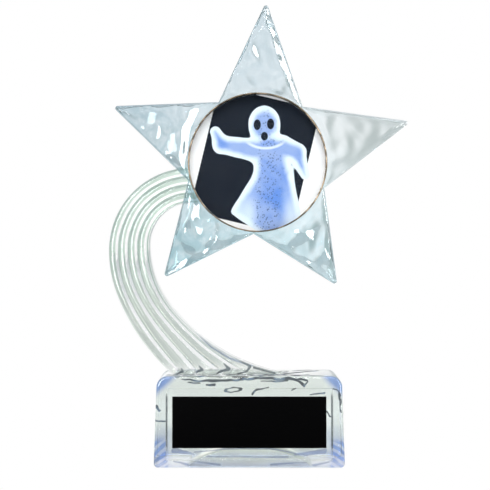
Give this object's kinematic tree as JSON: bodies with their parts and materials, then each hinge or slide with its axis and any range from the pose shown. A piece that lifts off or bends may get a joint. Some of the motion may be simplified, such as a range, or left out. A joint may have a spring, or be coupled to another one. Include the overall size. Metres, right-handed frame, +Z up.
{
  "type": "star trophy",
  "caption": "Clear star trophy: a star with a round printed insert in a metal ring, on a fluted comet tail and a block base with a black name plate.",
  "frame": {"origin": "centre of the underside of the base, on the surface that the trophy stands on", "axes": "+Z up; the face with the insert and the name plate looks along -Y; +X is to the right seen from the front"},
  "size_m": [0.1118, 0.031, 0.1717],
  "materials": {
    "clear_base": "polished clear moulding, slightly blue where it is thick",
    "clear_tail": "polished clear moulding with a faint green cast, fluted",
    "clear_star": "clear moulding with a hammered face and a pearly sheen",
    "gold_trim": "bright gold anodised ring",
    "adhesive": "pressure-sensitive adhesive disc",
    "printed_disc": "full-colour print on a white disc, satin",
    "clear_film": "thin clear gloss film",
    "mounting_tape": "double-sided film tape",
    "black_plate": "black engraver's blank, satin"
  },
  "bodies": {
    "root": {"base_block": "clear_base", "comet_tail": "clear_tail", "star_body": "clear_star", "trim_ring": "gold_trim", "insert_glue": "adhesive", "insert_print": "printed_disc", "insert_cover": "clear_film", "plate_tape": "mounting_tape", "name_plate": "black_plate"}
  },
  "joints": []
}
